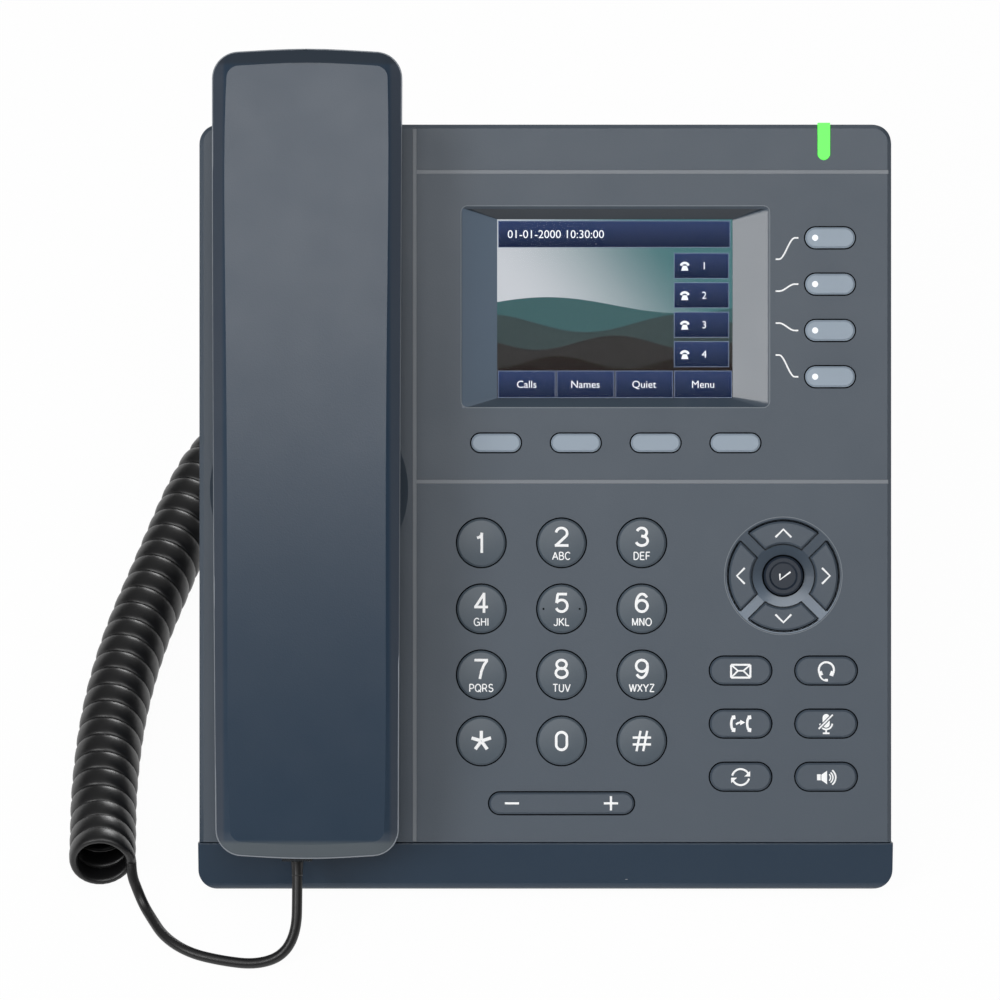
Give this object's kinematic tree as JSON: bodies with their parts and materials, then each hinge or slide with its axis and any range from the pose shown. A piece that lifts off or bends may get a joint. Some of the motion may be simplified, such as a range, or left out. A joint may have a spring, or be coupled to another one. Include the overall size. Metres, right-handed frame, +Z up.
{
  "type": "desk ip phone",
  "caption": "Tilted desk IP phone with a framed colour screen, soft and line keys, dial pad, direction pad, rocker, lift-off handset on a coiled cord and a foot stand.",
  "frame": {"origin": "on the desk, under the middle of the phone's bounding box without the cord", "axes": "+Z up from the desk, the tilted face looks towards -Y, +X to the user's right with the handset on the left"},
  "size_m": [0.2029, 0.1823, 0.1667],
  "materials": {
    "slate_plastic": "fine satin grain",
    "navy_plastic": "satin",
    "pale_key": "satin",
    "clear_lens": "clear",
    "display": "lit display",
    "lamp_green": "lit",
    "board_green": "solder mask",
    "silicone": "matt",
    "foot_rubber": "matt",
    "plain_metal": "plain",
    "black_plastic": "moulded",
    "clear_plug": "clear moulded",
    "cord_jacket": "soft vinyl"
  },
  "bodies": {
    "base": {"front_cover": "slate_plastic", "rear_tub": "navy_plastic", "screen_lens": "clear_lens", "lcd_module": "display", "message_lamp": "lamp_green", "main_board": "board_green", "key_membrane": "silicone", "loudspeaker": "plain_metal", "base_microphone": "plain_metal", "network_jacks": "black_plastic", "modular_jacks": "black_plastic", "power_jack": "black_plastic", "hook_switch": "black_plastic", "desk_stand": "navy_plastic", "front_feet": "foot_rubber", "rear_feet": "foot_rubber", "housing_screws": "plain_metal", "base_plug": "clear_plug", "cord_base_lead": "cord_jacket", "cord_coil": "cord_jacket", "cord_handset_lead": "cord_jacket"},
    "handset": {"handset_outer_shell": "navy_plastic", "handset_inner_shell": "navy_plastic", "receiver_capsule": "plain_metal", "microphone_capsule": "plain_metal", "handset_jack": "black_plastic", "handset_plug": "clear_plug"},
    "hook_plunger": {"hook_plunger": "navy_plastic"},
    "volume_rocker": {"volume_rocker": "slate_plastic"},
    "digit_key_1": {"digit_key_1": "slate_plastic"},
    "digit_key_2": {"digit_key_2": "slate_plastic"},
    "digit_key_3": {"digit_key_3": "slate_plastic"},
    "digit_key_4": {"digit_key_4": "slate_plastic"},
    "digit_key_5": {"digit_key_5": "slate_plastic"},
    "digit_key_6": {"digit_key_6": "slate_plastic"},
    "digit_key_7": {"digit_key_7": "slate_plastic"},
    "digit_key_8": {"digit_key_8": "slate_plastic"},
    "digit_key_9": {"digit_key_9": "slate_plastic"},
    "digit_key_star": {"digit_key_star": "slate_plastic"},
    "digit_key_0": {"digit_key_0": "slate_plastic"},
    "digit_key_hash": {"digit_key_hash": "slate_plastic"},
    "soft_key_1": {"soft_key_1": "pale_key"},
    "soft_key_2": {"soft_key_2": "pale_key"},
    "soft_key_3": {"soft_key_3": "pale_key"},
    "soft_key_4": {"soft_key_4": "pale_key"},
    "line_key_1": {"line_key_1": "pale_key"},
    "line_key_2": {"line_key_2": "pale_key"},
    "line_key_3": {"line_key_3": "pale_key"},
    "line_key_4": {"line_key_4": "pale_key"},
    "message_key": {"message_key": "slate_plastic"},
    "headset_key": {"headset_key": "slate_plastic"},
    "transfer_key": {"transfer_key": "slate_plastic"},
    "mute_key": {"mute_key": "slate_plastic"},
    "redial_key": {"redial_key": "slate_plastic"},
    "speaker_key": {"speaker_key": "slate_plastic"},
    "up_key": {"up_key": "slate_plastic"},
    "left_key": {"left_key": "slate_plastic"},
    "down_key": {"down_key": "slate_plastic"},
    "right_key": {"right_key": "slate_plastic"},
    "ok_key": {"ok_key": "slate_plastic"}
  },
  "joints": [
    {"name": "digit_key_1_press", "type": "slide", "parent": "base", "child": "digit_key_1", "axis": [0, 0.7071, -0.7071], "range_m": [0, 0.0012], "stiffness_N_per_m": 600},
    {"name": "digit_key_2_press", "type": "slide", "parent": "base", "child": "digit_key_2", "axis": [0, 0.7071, -0.7071], "range_m": [0, 0.0012], "stiffness_N_per_m": 600},
    {"name": "digit_key_3_press", "type": "slide", "parent": "base", "child": "digit_key_3", "axis": [0, 0.7071, -0.7071], "range_m": [0, 0.0012], "stiffness_N_per_m": 600},
    {"name": "digit_key_4_press", "type": "slide", "parent": "base", "child": "digit_key_4", "axis": [0, 0.7071, -0.7071], "range_m": [0, 0.0012], "stiffness_N_per_m": 600},
    {"name": "digit_key_5_press", "type": "slide", "parent": "base", "child": "digit_key_5", "axis": [0, 0.7071, -0.7071], "range_m": [0, 0.0012], "stiffness_N_per_m": 600},
    {"name": "digit_key_6_press", "type": "slide", "parent": "base", "child": "digit_key_6", "axis": [0, 0.7071, -0.7071], "range_m": [0, 0.0012], "stiffness_N_per_m": 600},
    {"name": "digit_key_7_press", "type": "slide", "parent": "base", "child": "digit_key_7", "axis": [0, 0.7071, -0.7071], "range_m": [0, 0.0012], "stiffness_N_per_m": 600},
    {"name": "digit_key_8_press", "type": "slide", "parent": "base", "child": "digit_key_8", "axis": [0, 0.7071, -0.7071], "range_m": [0, 0.0012], "stiffness_N_per_m": 600},
    {"name": "digit_key_9_press", "type": "slide", "parent": "base", "child": "digit_key_9", "axis": [0, 0.7071, -0.7071], "range_m": [0, 0.0012], "stiffness_N_per_m": 600},
    {"name": "digit_key_star_press", "type": "slide", "parent": "base", "child": "digit_key_star", "axis": [0, 0.7071, -0.7071], "range_m": [0, 0.0012], "stiffness_N_per_m": 600},
    {"name": "digit_key_0_press", "type": "slide", "parent": "base", "child": "digit_key_0", "axis": [0, 0.7071, -0.7071], "range_m": [0, 0.0012], "stiffness_N_per_m": 600},
    {"name": "digit_key_hash_press", "type": "slide", "parent": "base", "child": "digit_key_hash", "axis": [0, 0.7071, -0.7071], "range_m": [0, 0.0012], "stiffness_N_per_m": 600},
    {"name": "soft_key_1_press", "type": "slide", "parent": "base", "child": "soft_key_1", "axis": [0, 0.7071, -0.7071], "range_m": [0, 0.0012], "stiffness_N_per_m": 600},
    {"name": "soft_key_2_press", "type": "slide", "parent": "base", "child": "soft_key_2", "axis": [0, 0.7071, -0.7071], "range_m": [0, 0.0012], "stiffness_N_per_m": 600},
    {"name": "soft_key_3_press", "type": "slide", "parent": "base", "child": "soft_key_3", "axis": [0, 0.7071, -0.7071], "range_m": [0, 0.0012], "stiffness_N_per_m": 600},
    {"name": "soft_key_4_press", "type": "slide", "parent": "base", "child": "soft_key_4", "axis": [0, 0.7071, -0.7071], "range_m": [0, 0.0012], "stiffness_N_per_m": 600},
    {"name": "line_key_1_press", "type": "slide", "parent": "base", "child": "line_key_1", "axis": [0, 0.7071, -0.7071], "range_m": [0, 0.0012], "stiffness_N_per_m": 600},
    {"name": "line_key_2_press", "type": "slide", "parent": "base", "child": "line_key_2", "axis": [0, 0.7071, -0.7071], "range_m": [0, 0.0012], "stiffness_N_per_m": 600},
    {"name": "line_key_3_press", "type": "slide", "parent": "base", "child": "line_key_3", "axis": [0, 0.7071, -0.7071], "range_m": [0, 0.0012], "stiffness_N_per_m": 600},
    {"name": "line_key_4_press", "type": "slide", "parent": "base", "child": "line_key_4", "axis": [0, 0.7071, -0.7071], "range_m": [0, 0.0012], "stiffness_N_per_m": 600},
    {"name": "message_key_press", "type": "slide", "parent": "base", "child": "message_key", "axis": [0, 0.7071, -0.7071], "range_m": [0, 0.0012], "stiffness_N_per_m": 600},
    {"name": "headset_key_press", "type": "slide", "parent": "base", "child": "headset_key", "axis": [0, 0.7071, -0.7071], "range_m": [0, 0.0012], "stiffness_N_per_m": 600},
    {"name": "transfer_key_press", "type": "slide", "parent": "base", "child": "transfer_key", "axis": [0, 0.7071, -0.7071], "range_m": [0, 0.0012], "stiffness_N_per_m": 600},
    {"name": "mute_key_press", "type": "slide", "parent": "base", "child": "mute_key", "axis": [0, 0.7071, -0.7071], "range_m": [0, 0.0012], "stiffness_N_per_m": 600},
    {"name": "redial_key_press", "type": "slide", "parent": "base", "child": "redial_key", "axis": [0, 0.7071, -0.7071], "range_m": [0, 0.0012], "stiffness_N_per_m": 600},
    {"name": "speaker_key_press", "type": "slide", "parent": "base", "child": "speaker_key", "axis": [0, 0.7071, -0.7071], "range_m": [0, 0.0012], "stiffness_N_per_m": 600},
    {"name": "up_key_press", "type": "slide", "parent": "base", "child": "up_key", "axis": [0, 0.7071, -0.7071], "range_m": [0, 0.0012], "stiffness_N_per_m": 600},
    {"name": "left_key_press", "type": "slide", "parent": "base", "child": "left_key", "axis": [0, 0.7071, -0.7071], "range_m": [0, 0.0012], "stiffness_N_per_m": 600},
    {"name": "down_key_press", "type": "slide", "parent": "base", "child": "down_key", "axis": [0, 0.7071, -0.7071], "range_m": [0, 0.0012], "stiffness_N_per_m": 600},
    {"name": "right_key_press", "type": "slide", "parent": "base", "child": "right_key", "axis": [0, 0.7071, -0.7071], "range_m": [0, 0.0012], "stiffness_N_per_m": 600},
    {"name": "ok_key_press", "type": "slide", "parent": "base", "child": "ok_key", "axis": [0, 0.7071, -0.7071], "range_m": [0, 0.0012], "stiffness_N_per_m": 600},
    {"name": "volume_tip", "type": "hinge", "parent": "base", "child": "volume_rocker", "pos_m": [0.00394, -0.05669, 0.02109], "axis": [0, 0.7071, 0.7071], "range_deg": [-3, 3], "stiffness_Nm_per_rad": 0.2},
    {"name": "handset_lift", "type": "slide", "parent": "base", "child": "handset", "axis": [0, -0.7071, 0.7071], "range_m": [0, 0.06]},
    {"name": "hook_rise", "type": "slide", "parent": "base", "child": "hook_plunger", "axis": [0, -0.7071, 0.7071], "range_m": [0, 0.003]}
  ],
  "couplings": [
    {"joint": "hook_rise", "follows": "handset_lift", "ratio": 0.05}
  ]
}
